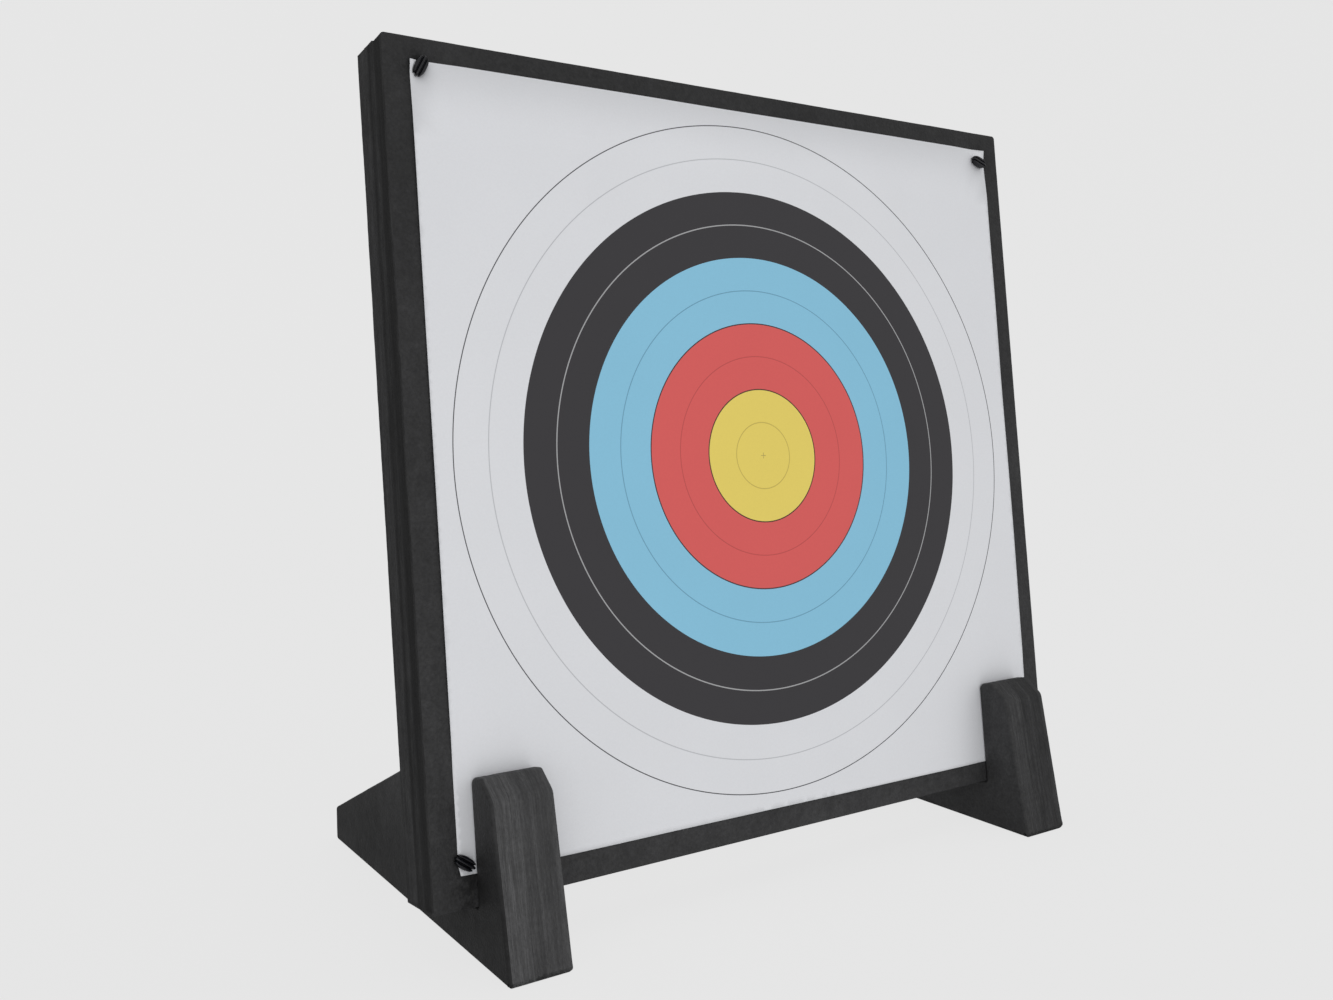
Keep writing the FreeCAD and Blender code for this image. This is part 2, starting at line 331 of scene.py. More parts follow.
def foam_skin(name, tone, rough=0.62, shade_grade=None, shadow_spots=()):
    """moulded face of the foam: pebbled skin with fine pits, softly mottled.
    grade = (low z, tone there, high z, tone there): painted shade, the tone ramps with height where light falls
    unevenly;
    spots = (x, z, half width, half height, how much darker): painted shadow, dark patches where a post shades the board"""
    m = Mat(name)
    obj = m.coords()
    broad = m.noise(obj, 7.0, 3.0, 0.55)
    cloud = m.noise(obj, 42.0, 3.0, 0.6)
    grain = m.noise(obj, 290.0, 3.0, 0.65)
    t = m.math("MULTIPLY", m.ramp01(broad, 0.3, 0.7, 0.86, 1.14, "LINEAR"), m.ramp01(cloud, 0.3, 0.7, 0.86, 1.14, "LINEAR"))
    # faint rubbed streaks down the face, and small blotches
    rubbed = m.noise(m.coords((55, 55, 6)), 1.0, 3.0, 0.6)
    blotch = m.noise(obj, 130.0, 2.0, 0.6)
    t = m.math("MULTIPLY", t, m.ramp01(rubbed, 0.3, 0.7, 0.91, 1.09, "LINEAR"))
    t = m.math("MULTIPLY", t, m.ramp01(blotch, 0.3, 0.7, 0.88, 1.12, "LINEAR"))
    t = m.math("MULTIPLY", t, m.ramp01(grain, 0.3, 0.7, 0.80, 1.20, "LINEAR"))
    pits = m.cells(obj, 640.0, "F1", 1.0)
    # painted shade: darker in the pits that the bump below dents in
    t = m.math("MULTIPLY", t, m.ramp01(pits, 0.06, 0.26, 0.72, 1.03))
    sep = m.node("ShaderNodeSeparateXYZ")
    m.t.links.new(obj, sep.inputs[0])
    # painted shadow: each spot darkens the skin where the left post shades the board beside it
    for x, z, wide, high, k in shadow_spots:
        u = m.math("DIVIDE", m.math("SUBTRACT", sep.outputs[0], x), wide)
        v = m.math("DIVIDE", m.math("SUBTRACT", sep.outputs[2], z), high)
        d = m.math("SQRT", m.math("ADD", m.math("MULTIPLY", u, u), m.math("MULTIPLY", v, v)))
        d = m.math("ADD", d, m.ramp01(blotch, 0.3, 0.7, -0.35, 0.35, "LINEAR"))
        t = m.math("MULTIPLY", t, m.ramp01(d, 0.1, 1.1, 1 - k, 1.0))
    # painted shade: the tone ramps with height, in place of light that falls unevenly on the face
    if shade_grade:
        height = m.math("ADD", sep.outputs[2], m.ramp01(broad, 0.3, 0.7, -0.02, 0.02, "LINEAR"))
        t = m.math("MULTIPLY", t, m.ramp01(height, shade_grade[0], shade_grade[2], shade_grade[1], shade_grade[3], "LINEAR"))
    # painted shade: darker within about 5 mm of the ground, where it stands on the floor
    low = m.math("ADD", sep.outputs[2], m.ramp01(m.noise(obj, 190.0, 2.0, 0.6), 0.3, 0.7, -0.0028, 0.0028, "LINEAR"))
    t = m.math("MULTIPLY", t, m.ramp01(low, 0.0004, 0.0052, 0.45, 1.0))
    m.put(m.bsdf.inputs["Base Color"], m.mix(1.0, scaled(tone, 1.0), m.grey(t), "MULTIPLY"))
    peb = m.cells(obj, 380.0, "F1", 1.0)
    soft = m.noise(obj, 70.0, 2.0, 0.5)
    n1 = m.bump(soft, 0.0014, 0.3)
    n2 = m.bump(peb, 0.0008, 0.5, n1)
    n3 = m.bump(m.ramp01(pits, 0.04, 0.25), 0.00035, 0.5, n2)
    n4 = m.bump(grain, 0.0006, 0.45, n3)
    m.t.links.new(n4, m.bsdf.inputs["Normal"])
    m.put(m.bsdf.inputs["Roughness"], m.ramp01(cloud, 0.3, 0.7, rough - 0.08, rough + 0.10, "LINEAR"))
    m.bsdf.inputs["Specular IOR Level"].default_value = 0.2
    return m.m


def _grey(self, value):
    n = self.node("ShaderNodeCombineColor")
    for i in range(3):
        self.put(n.inputs[i], value)
    return n.outputs[0]


Mat.grey = _grey


def foam_cut(name, tone, seams=(None, None), rim=None, streak=1.0, rough=0.82, rim_highlight_at=(0.0030, 0.0068), band=(0.0030, 0.0030)):
    """sawn edge of one foam sheet: open cells, saw marks along the sheet, and a paler dense band at each weld.
    seams holds the tone at each weld, or None at an outer face; rim the paler tone towards the last face, a painted
    highlight along the rounded edge there"""
    m = Mat(name)
    # uv "run": along the outline, across the sheets (metres);  uv "weld": distance to each face of the sheet
    run = m.node("ShaderNodeSeparateXYZ")
    m.t.links.new(m.node("ShaderNodeUVMap", uv_map="run").outputs[0], run.inputs[0])
    weld = m.node("ShaderNodeSeparateXYZ")
    m.t.links.new(m.node("ShaderNodeUVMap", uv_map="weld").outputs[0], weld.inputs[0])
    slow = m.noise(m.coords((7, 16, 1), "run"), 1.0, 2.0, 0.5)
    across = m.math("ADD", run.outputs[1], m.ramp01(slow, 0.3, 0.7, -0.0016, 0.0016, "LINEAR"))

    def marks(per_along, per_across, detail, roughness):
        v = m.node("ShaderNodeCombineXYZ")
        m.put(v.inputs[0], m.math("MULTIPLY", run.outputs[0], per_along))
        m.put(v.inputs[1], m.math("MULTIPLY", across, per_across))
        return m.noise(v.outputs[0], 1.0, detail, roughness)

    k = streak
    wide = marks(6.0, 95.0, 2.0, 0.5)
    mid = marks(15.0, 310.0, 3.0, 0.6)
    fine = marks(60.0, 1150.0, 3.0, 0.65)
    obj = m.coords()
    blot = m.noise(obj, 60.0, 3.0, 0.6)
    cell = m.cells(obj, 820.0, "F1", 1.0)
    t = m.math("MULTIPLY", m.ramp01(wide, 0.3, 0.7, 1 - 0.08 * k, 1 + 0.08 * k, "LINEAR"),
               m.ramp01(mid, 0.3, 0.7, 1 - 0.15 * k, 1 + 0.15 * k, "LINEAR"))
    t = m.math("MULTIPLY", t, m.ramp01(fine, 0.3, 0.7, 1 - 0.12 * k, 1 + 0.12 * k, "LINEAR"))
    t = m.math("MULTIPLY", t, m.ramp01(blot, 0.3, 0.7, 1 - 0.06 * k, 1 + 0.06 * k, "LINEAR"))
    torn = marks(210.0, 520.0, 2.0, 0.6)
    t = m.math("MULTIPLY", t, m.ramp01(torn, 0.3, 0.7, 1 - 0.10 * k, 1 + 0.10 * k, "LINEAR"))
    # painted shade: darker in the open cells that the bump below dents in
    t = m.math("MULTIPLY", t, m.ramp01(cell, 0.05, 0.35, 0.86, 1.04))
    base = scaled(tone, 1.0)
    # the dense bands at the welds fade in and out along the sheet
    wobble = m.ramp01(marks(24.0, 40.0, 2.0, 0.6), 0.3, 0.7, -0.0006, 0.0006, "LINEAR")
    patchy = m.ramp01(marks(13.0, 60.0, 3.0, 0.65), 0.32, 0.68, 0.30, 1.0, "LINEAR")
    for seam_tone, d, reach in zip(seams, (weld.outputs[0], weld.outputs[1]), band):
        if seam_tone is not None:
            near = m.ramp01(m.math("ADD", d, wobble), 0.0002, reach, 1.0, 0.0)
            base = m.mix(m.math("MULTIPLY", near, patchy), base, seam_tone)
    # painted highlight: a paler band along the rounded edge next to the last face
    if rim is not None:
        near = m.ramp01(m.math("ADD", weld.outputs[1], wobble), rim_highlight_at[0], rim_highlight_at[1], 1.0, 0.0)
        base = m.mix(m.math("MULTIPLY", near, m.ramp01(patchy, 0.3, 1.0, 0.6, 1.0)), base, rim)
    # painted shade: darker within about 5 mm of the ground, where it stands on the floor
    sep = m.node("ShaderNodeSeparateXYZ")
    m.t.links.new(obj, sep.inputs[0])
    low = m.math("ADD", sep.outputs[2], m.ramp01(m.noise(obj, 190.0, 2.0, 0.6), 0.3, 0.7, -0.0028, 0.0028, "LINEAR"))
    t = m.math("MULTIPLY", t, m.ramp01(low, 0.0004, 0.0052, 0.45, 1.0))
    m.put(m.bsdf.inputs["Base Color"], m.mix(1.0, base, m.grey(t), "MULTIPLY"))
    cell2 = m.cells(obj, 350.0, "F1", 1.0)
    n1 = m.bump(mid, 0.0009, 0.6)
    n2 = m.bump(fine, 0.0005, 0.6, n1)
    n3 = m.bump(cell2, 0.0007, 0.4, n2)
    n4 = m.bump(cell, 0.0005, 0.55, n3)
    m.t.links.new(n4, m.bsdf.inputs["Normal"])
    m.bsdf.inputs["Roughness"].default_value = rough
    m.bsdf.inputs["Specular IOR Level"].default_value = 0.15
    return m.m


def paper_print():
    """the printed ten-ring face, drawn from the distance to its middle; uv "plane" holds metres on the sheet"""
    m = Mat("target_paper_print")
    uv = m.node("ShaderNodeUVMap", uv_map="plane")
    sep = m.node("ShaderNodeSeparateXYZ")
    m.t.links.new(uv.outputs[0], sep.inputs[0])
    dx = m.math("SUBTRACT", sep.outputs[0], PRINT_X * MM)
    dy = m.math("SUBTRACT", sep.outputs[1], PRINT_Y * MM)
    r = m.math("SQRT", m.math("ADD", m.math("MULTIPLY", dx, dx), m.math("MULTIPLY", dy, dy)))
    r = m.math("MULTIPLY", r, 25.0)                      # in rings of 40 mm
    white = INK["white"]
    col = m.mix(m.math("LESS_THAN", r, 8.0), white, INK["black"])
    col = m.mix(m.math("LESS_THAN", r, 6.0), col, INK["blue"])
    col = m.mix(m.math("LESS_THAN", r, 4.0), col, INK["red"])
    col = m.mix(m.math("LESS_THAN", r, 2.0), col, INK["yellow"])
    for at, half, ink in LINES:
        d = m.math("ABSOLUTE", m.math("SUBTRACT", r, at))
        col = m.mix(m.math("LESS_THAN", d, half), col, ink)
    # small cross in the middle
    ax, ay = m.math("ABSOLUTE", dx), m.math("ABSOLUTE", dy)
    arm = m.math("MAXIMUM",
                 m.math("MULTIPLY", m.math("LESS_THAN", ax, 0.0004), m.math("LESS_THAN", ay, 0.0036)),
                 m.math("MULTIPLY", m.math("LESS_THAN", ay, 0.0004), m.math("LESS_THAN", ax, 0.0036)))
    col = m.mix(arm, col, INK["cross"])
    # paper fibre and slightly uneven ink
    obj = m.coords()
    fib = m.noise(obj, 420.0, 4.0, 0.6)
    broad = m.noise(obj, 11.0, 2.0, 0.5)
    t = m.math("MULTIPLY", m.ramp01(fib, 0.3, 0.7, 0.985, 1.015, "LINEAR"), m.ramp01(broad, 0.3, 0.7, 0.992, 1.008, "LINEAR"))
    col = m.mix(1.0, col, m.grey(t), "MULTIPLY")
    m.put(m.bsdf.inputs["Base Color"], col)
    n1 = m.bump(m.noise(obj, 30.0, 2.0, 0.5), 0.0010, 0.12)
    n2 = m.bump(fib, 0.00012, 0.35, n1)
    m.t.links.new(n2, m.bsdf.inputs["Normal"])
    m.bsdf.inputs["Roughness"].default_value = 0.62
    m.bsdf.inputs["Specular IOR Level"].default_value = 0.28
    return m.m


def paper_back():
    m = Mat("target_paper_back")
    obj = m.coords()
    fib = m.noise(obj, 420.0, 4.0, 0.6)
    m.put(m.bsdf.inputs["Base Color"], m.mix(m.ramp01(fib, 0.3, 0.7), scaled(INK["white"], 0.93), scaled(INK["white"], 1.0)))
    m.t.links.new(m.bump(fib, 0.00012, 0.4), m.bsdf.inputs["Normal"])
    m.bsdf.inputs["Roughness"].default_value = 0.75
    return m.m


def pin_plastic():
    m = Mat("pin_plastic_black")
    obj = m.coords()
    n = m.noise(obj, 900.0, 3.0, 0.6)
    sc = m.noise(m.coords((60, 900, 200)), 1.0, 3.0, 0.7)
    m.put(m.bsdf.inputs["Base Color"], m.mix(m.ramp01(n, 0.35, 0.7), (0.0045, 0.0047, 0.0072, 1), (0.0095, 0.0098, 0.0140, 1)))
    m.put(m.bsdf.inputs["Roughness"], m.ramp01(sc, 0.35, 0.75, 0.20, 0.36, "LINEAR"))
    m.t.links.new(m.bump(n, 0.00010, 0.3), m.bsdf.inputs["Normal"])
    m.bsdf.inputs["Specular IOR Level"].default_value = 0.35
    return m.m


INK = {
    "white": (0.790, 0.800, 0.830, 1.0),
    "yellow": (0.865, 0.692, 0.148, 1.0),
    "red": (0.752, 0.120, 0.115, 1.0),
    "blue": (0.270, 0.590, 0.790, 1.0),
    "black": (0.041, 0.039, 0.043, 1.0),
    "cross": (0.45, 0.36, 0.10, 1.0),
}
LINES = [
    (1.0, 0.015, (0.60, 0.47, 0.10, 1.0)),
    (2.0, 0.017, (0.060, 0.035, 0.025, 1.0)),
    (3.0, 0.014, (0.56, 0.085, 0.083, 1.0)),
    (4.0, 0.017, (0.050, 0.035, 0.040, 1.0)),
    (5.0, 0.015, (0.16, 0.37, 0.52, 1.0)),
    (7.0, 0.017, (0.40, 0.40, 0.41, 1.0)),
    (9.0, 0.015, (0.55, 0.56, 0.585, 1.0)),
    (10.0, 0.015, (0.10, 0.10, 0.11, 1.0)),
]

SKIN = (0.0410, 0.0410, 0.0421, 1.0)


def tone(v):
    """the foam's near-black grey, faintly cool"""
    return (v, v, v * 1.022, 1.0)


# the grades below are painted shade: darker towards the top of the board's faces and towards the floor on the feet; the
# spot on the board's face is a painted shadow beside the left post
mat_skin_board = foam_skin("foam_skin_board", SKIN, shade_grade=(0.05, 0.90, 0.90, 0.60), shadow_spots=((-0.4090, 0.0900, 0.0190, 0.0420, 0.62),))
mat_skin_back = foam_skin("foam_skin_back", SKIN, shade_grade=(0.05, 0.95, 0.90, 0.85))
mat_skin_foot = {"left": foam_skin("foam_skin_foot_left", SKIN, shade_grade=(0.06, 0.46, 0.16, 0.93)),
                 "right": foam_skin("foam_skin_foot_right", SKIN, shade_grade=(0.03, 0.80, 0.10, 1.00))}
mat_weld = foam_skin("foam_weld_face", scaled(SKIN, 1.1), 0.8)
# painted shade: the pin-hole walls are a darker copy of the skin, for the shade inside the holes
mat_hole_shaded = foam_skin("foam_hole_shaded", scaled(SKIN, 0.55), 0.8)


def cut_set(prefix, thin, core, thick, seam, core_seam, rim=None, streak=1.0, rim_highlight_at=(0.0030, 0.0068), dip=None, outer=None, band=(0.0030, 0.0030), thick_band=0.0030):
    a, b = tone(seam), tone(core_seam)
    c = tone(dip if dip else 0.5 * seam + 0.5 * core_seam)
    return {
        "thin_sheet_1": foam_cut(prefix + "_thin_outer", tone(thin), (tone(outer) if outer else None, None if outer else a), streak=streak, band=(0.0050, 0.0030)),
        "thin_sheet_2": foam_cut(prefix + "_thin", tone(thin), (a, a), streak=streak),
        "thin_sheet_3": foam_cut(prefix + "_thin_3", tone(thin * 0.99), (a, a), streak=streak),
        "thin_sheet_4": foam_cut(prefix + "_thin_4", tone(thin * 0.97), (a, None if dip else c), streak=streak),
        "core_sheet": foam_cut(prefix + "_core", tone(core), (c, b), streak=streak, band=band),
        # the thick sheet's rim is a painted highlight along its rounded edge
        "thick_sheet": foam_cut(prefix + "_thick", tone(thick), (b, None), tone(rim) if rim else None, streak * 0.9, rim_highlight_at=rim_highlight_at, band=(thick_band, 0.0030)),
    }


cut_of = {
    "left": cut_set("foam_cut_left", 0.0700, 0.0550, 0.0555, 0.0900, 0.0860, 0.0690, streak=1.5),
    # the right foot's sheets are a darker copy of the left foot's: partly the foam's own tone, partly painted shade for
    # the weaker light on the right foot
    "right": cut_set("foam_cut_right_tone_and_shade", 0.0420, 0.0345, 0.0355, 0.0560, 0.0480, 0.0460, streak=1.7),
    "board": cut_set("foam_cut_board", 0.0395, 0.0170, 0.0165, 0.0430, 0.0390, 0.0345, streak=1.7, rim_highlight_at=(0.0008, 0.0046), dip=0.0380, outer=0.0150, band=(0.0058, 0.0120), thick_band=0.0100),
}
mat_paper, mat_paper_back, mat_pin = paper_print(), paper_back(), pin_plastic()


# ---------------------------------------------------------------- foam sheets
def profile(t, r_start, r_end):
    """rows across a sheet of thickness t: (distance from its first face, how far the edge is drawn in)"""
    rows = []

    def soft(r, k):
        return [(r - r * math.cos(math.pi / 2 * j / k), r - r * math.sin(math.pi / 2 * j / k)) for j in range(k + 1)]

    start = soft(r_start, 6 if r_start > 1 else 3)
    end = soft(r_end, 6 if r_end > 1 else 3)
    rows += [(a, b) for a, b in start]
    mid0, mid1 = r_start, t - r_end
    k = max(2, int(round((mid1 - mid0) / 2.4)))
    rows += [(mid0 + (mid1 - mid0) * j / k, 0.0) for j in range(1, k)]
    rows += [(t - a, b) for a, b in reversed(end)]
    return rows


def foam_sheet(name, pts, radii, w0, t, r_start, r_end, place, mats, spacing_start, spacing_end, step, rough, seed,
               holes=(), hole_depth=None, skin_in=0.0, worn=None):
    """one foam sheet as a closed mesh; mats = (face at the start, sawn edge, face at the end, hole).
    The skin of the first face comes round the edge by skin_in"""
    loop, nrm = rounded_outline(pts, radii, step)
    n = len(loop)
    rows = profile(t, r_start, r_end)
    run = np.concatenate([[0], np.cumsum(np.linalg.norm(np.roll(loop, -1, 0) - loop, axis=1))])[:n]
    V, weld, ruv, F, M = [], [], [], [], []
    flat_in = 0.9                                     # a flat margin inside each rounded edge
    for k, (w, ins) in enumerate(rows):
        p2 = loop - nrm * ins
        p3 = np.column_stack([p2, np.full(n, w0 + w)])
        V.append(p3)
        weld.append(np.column_stack([np.full(n, w), np.full(n, t - w)]) * MM)
        ruv.append(np.column_stack([run, np.full(n, w0 + w)]) * MM)
    V = np.concatenate(V)
    # sawn edges wander by a fraction of a millimetre
    p3 = place(V) * 1000.0
    amount, bias = rough(V)
    wander = 0.55 * vnoise(p3, 34.0, seed) + 0.30 * vnoise(p3, 9.0, seed + 1) + 0.25 * vnoise(p3, 3.2, seed + 2)
    rows_n = len(rows)
    inner = np.tile(nrm, (rows_n, 1))
    V[:, :2] -= inner * (np.clip(wander * 0.5 + 0.5, 0, 1) * amount - bias)[:, None]
    if worn is not None:
        V = worn(V)
    weld = np.concatenate(weld)
    ruv = np.concatenate(ruv)
    for k in range(rows_n - 1):
        a = k * n
        for i in range(n):
            j = (i + 1) % n
            F.append((a + i, a + j, a + n + j, a + n + i))
            M.append(0 if rows[k + 1][0] <= skin_in + 1e-6 else 1)
    Vl, Wl, Rl = [V], [weld], [ruv]
    count = len(V)
    for end in (0, 1):
        first = 0 if end == 0 else (rows_n - 1) * n
        edge_loop = V[first:first + n, :2]
        w = w0 if end == 0 else w0 + t
        spacing = spacing_start if end == 0 else spacing_end
        use = holes if (end == 1 or hole_depth is None) else ()
        if spacing:
            # a flat ring first, so the rounding's shading stays at the edge
            ring = edge_loop - nrm * flat_in
            base = count
            Vl.append(np.column_stack([ring, np.full(n, w)]))
            Wl.append(np.full((n, 2), 0.05))
            Rl.append(ring * MM)
            count += n
            for i in range(n):
                j = (i + 1) % n
                F.append((first + j, first + i, base + i, base + j) if end == 0 else (first + i, first + j, base + j, base + i))
                M.append(0 if end == 0 else 2)
            edge_loop, first = ring, base
        v2, tri, where, rings = fill(edge_loop, use, spacing, spacing * 0.55 if spacing else 0, seed + end)
        back = {j: first + i for i, j in enumerate(where)}
        new = [j for j in range(len(v2)) if j not in back]
        for q, j in enumerate(new):
            back[j] = count + q
        if new:
            p = v2[new]
            h = np.zeros(len(new))
            Vl.append(np.column_stack([p, np.full(len(new), w)]))
            Wl.append(np.full((len(new), 2), 0.05))
            Rl.append(p * MM)
            count += len(new)
        for a, b, c in tri:
            pa, pb, pc = v2[a], v2[b], v2[c]
            ccw = (pb[0] - pa[0]) * (pc[1] - pa[1]) - (pb[1] - pa[1]) * (pc[0] - pa[0]) > 0
            f = (back[a], back[b], back[c])
            if ccw == (end == 0):
                f = f[::-1]
            F.append(f)
            M.append(0 if end == 0 else 2)
        if end == 0:
            low_rings = [[back[j] for j in r] for r in rings]
        else:
            high_rings = [[back[j] for j in r] for r in rings]
    if holes:
        allv = np.concatenate(Vl)
        for h, ring in enumerate(high_rings):
            k = len(ring)
            if hole_depth is None:
                low = low_rings[h]
            else:
                low = list(range(count, count + k))
                p = allv[ring].copy()
                p[:, 2] = w0 + t - hole_depth
                Vl.append(p)
                Wl.append(np.full((k, 2), 0.05))
                Rl.append(p[:, :2] * MM)
                count += k
                F.append(tuple(low))
                M.append(3)
            for i in range(k):
                j = (i + 1) % k
                F.append((ring[i], low[i], low[j], ring[j]))
                M.append(3)
    V = np.concatenate(Vl)
    ob = make_object(name, place(V), F, mats, M, {"run": np.concatenate(Rl), "weld": np.concatenate(Wl)})
    return ob


def consistent(ob):
    """all faces turned outwards"""
    import bmesh
    bm = bmesh.new()
    bm.from_mesh(ob.data)
    bmesh.ops.recalc_face_normals(bm, faces=bm.faces)
    bm.to_mesh(ob.data)
    bm.free()
    ob.data.update()


SHEET_SEAM_R = 0.35
hb = BOARD_W / 2.0
board_pts = [(-hb, -BOARD_DOWN), (hb, -BOARD_DOWN), (hb, BOARD_UP), (-hb, BOARD_UP)]


def board_rough(V):
    """sawn edges of the board wander a little, and less along the bottom, inside the feet's slots"""
    low = smooth01((V[:, 1] + BOARD_DOWN) / 12.0)
    return 0.10 + 0.60 * low, 0.33 * low


z = -BOARD_T
for i, (name, t) in enumerate(SHEETS):
    last, first = i == len(SHEETS) - 1, i == 0
    holes, depth = (), None
    if z + t > -PIN_LEN:
        holes = [(x, y, PIN_HOLE_R, 14) for x, y, _ in PINS.values()]
        if z < -(PIN_LEN + 0.5) - 1e-6:
            depth = PIN_LEN + 0.5 + (z + t)
    ob = foam_sheet("board_%s_look" % name, board_pts, [BOARD_FACE_CORNER_R if last else BOARD_CORNER_R] * 4, z, t,
                    BOARD_EDGE_R if first else SHEET_SEAM_R, BOARD_EDGE_R if last else SHEET_SEAM_R, on_board,
                    (mat_skin_back if first else mat_weld, cut_of["board"][name], mat_skin_board if last else mat_weld, mat_hole_shaded),
                    10.0 if first else 0, 10.0 if last else 0, 4.0, board_rough, SEED + 10 * i,
                    holes, depth, BOARD_EDGE_R if first else 0.0)
    consistent(ob)
    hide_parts("board_" + name)
    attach(ob, "target_board")
    z += t


def board_yz(up, out):
    p = ORIGIN + UP * up + OUT * out
    return (p[1], p[2])


def foot_outline():
    y0 = -Y_MID
    slot_front = board_yz(-BOARD_DOWN - 0.2, 0.8)
    slot_back = board_yz(-BOARD_DOWN - 0.2, -BOARD_T - 0.3)
    post_back = board_yz(-BOARD_DOWN + POST_TOP_BACK, 0.8)
    heel = (FOOT_BACK + y0, HEEL_H)
    sp = (SLOPE_Y + y0, SLOPE_Z)
    m = (sp[1] - heel[1]) / (sp[0] - heel[0])
    s = (heel[1] + m * (slot_back[0] - heel[0]) - slot_back[1]) / (UP[2] - m * UP[1])
    s -= 16.0 * 0.45
    wall_top = (slot_back[0] + s * UP[1], slot_back[1] + s * UP[2])
    flat_end = ((wall_top[1] - heel[1]) / m + heel[0], wall_top[1])
    pts = [(FOOT_FRONT + y0, 0.0), (FOOT_BACK + y0, 0.0), heel, flat_end, wall_top, slot_back, slot_front, post_back,
           (POST_P3[0] + y0, POST_P3[1]), (POST_P4[0] + y0, POST_P4[1])]
    return pts, [TOE_R, 5.0, 6.0, 8.0, 5.0, SLOT_R, SLOT_R, 8.0, 7.0, 12.0]


foot_pts, foot_radii = foot_outline()


def foot_rough(V):
    """sawn faces wander a little; the sole and the slot stay true"""
    sole = smooth01(V[:, 1] / 6.0)
    # distance out of the board's face and above its lower edge
    dy, dz = V[:, 0] + Y_MID, V[:, 1] - RING_Z
    out = dy * OUT[1] + dz * OUT[2]
    up = dy * UP[1] + dz * UP[2] + BOARD_DOWN
    near = (out > -BOARD_T - 4) & (out < 4.5) & (up > -4)
    return np.where(near, 0.06, 0.06 + 0.60 * sole), np.where(near, 0.0, 0.32 * sole)


def worn_toe(x_face, r):
    """the sole's right edge is rubbed round towards the toe"""
    def change(V):
        d = np.clip(x_face - V[:, 2], 0, r)
        lift = (r - np.sqrt(np.maximum(r * r - (r - d) ** 2, 0))) * smooth01((150.0 - (V[:, 0] + Y_MID - FOOT_FRONT)) / 110.0)
        V = V.copy()
        V[:, 1] = np.where(lift > 1e-3, np.hypot(np.maximum(V[:, 1], 0), lift), V[:, 1])
        return V
    return change


for side, cx in (("left", -FOOT_X), ("right", FOOT_X)):
    x = cx - BOARD_T / 2
    for i, (name, t) in enumerate(SHEETS):
        last, first = i == len(SHEETS) - 1, i == 0
        ob = foam_sheet("foot_%s_%s_look" % (side, name), foot_pts, list(foot_radii), x, t,
                        FOOT_EDGE_R if first else SHEET_SEAM_R, FOOT_EDGE_R_RIGHT if last else SHEET_SEAM_R, on_foot,
                        (mat_skin_foot[side] if first else mat_weld, cut_of[side][name], mat_skin_foot[side] if last else mat_weld, mat_hole_shaded),
                        7.0 if first else 0, 7.0 if last else 0, 2.6, foot_rough, SEED + 200 + 10 * i + (100 if side == "right" else 0), skin_in=FOOT_EDGE_R if first else 0.0,
                        worn=worn_toe(cx + BOARD_T / 2, 5.0 if side == "left" else 7.5) if last else None)
        consistent(ob)
        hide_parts("foot_%s_%s" % (side, name))
        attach(ob, "foot_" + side)
        x += t


# ---------------------------------------------------------------- paper face
def paper_lift(x, y):
    """how far the sheet stands off the board, in mm: it lies slack between its pins"""
    p = np.column_stack([x, y, np.zeros_like(x)])
    slack = 0.9 + 0.8 * vnoise(p, 260.0, SEED + 1) + 0.32 * vnoise(p, 95.0, SEED + 2) + 0.10 * vnoise(p, 38.0, SEED + 3)
    # free edges stand off a little more between the pins
    ex = np.minimum(x - PAPER_LEFT, PAPER_RIGHT - x)
    ey = np.minimum(y - paper_bottom(x), PAPER_TOP - y)
    edge = np.exp(-np.minimum(ex, ey) / 26.0)
    slack = slack + edge * (0.8 + 0.7 * vnoise(p, 120.0, SEED + 4))
    slack = np.maximum(slack, 0.0)
    # held flat behind the feet's posts
    held = np.ones_like(x)
    for cx in (-FOOT_X, FOOT_X):
        ddx = np.maximum(np.abs(x - cx) - 35.0, 0)
        ddy = np.maximum(y - (-BOARD_DOWN + POST_TOP_BACK), 0)
        held = np.minimum(held, smooth01((np.hypot(ddx, ddy) - 5.0) / 42.0))
    # pressed down round each pin
    for px, py, _ in PINS.values():
        held = np.minimum(held, smooth01((np.hypot(x - px, y - py) - 8.0) / 46.0))
    lift = slack * held
    # corners outside the pins curl forwards
    for (name, (px, py, _)), curl in zip(PINS.items(), (2.6, 2.0, 5.5, 1.6)):
        cxn = PAPER_LEFT if "left" in name else PAPER_RIGHT
        cyn = PAPER_TOP if "top" in name else paper_bottom(cxn)
        # how far past the pin, towards the corner
        ux, uy = cxn - px, cyn - py
        far = math.hypot(ux, uy)
        past = ((x - px) * ux + (y - py) * uy) / far - 4.0
        aside = np.abs((x - px) * uy - (y - py) * ux) / far
        span = max(far - 4.0, 1.0)
        lift = lift + np.where(past > 0, curl * smooth01(past / span) * np.exp(-(aside / 22.0) ** 2), 0)
    return lift


def paper_bottom(x):
    """lower edge of the sheet, trimmed a little out of square"""
    x = np.asarray(x)
    corner = PAPER_CORNER_UP * np.clip((PAPER_CORNER_X - x) / (PAPER_CORNER_X - PAPER_LEFT), 0, 1)
    return PAPER_BOTTOM_LEFT + (PAPER_BOTTOM_RIGHT - PAPER_BOTTOM_LEFT) * (x - PAPER_LEFT) / (PAPER_RIGHT - PAPER_LEFT) + corner


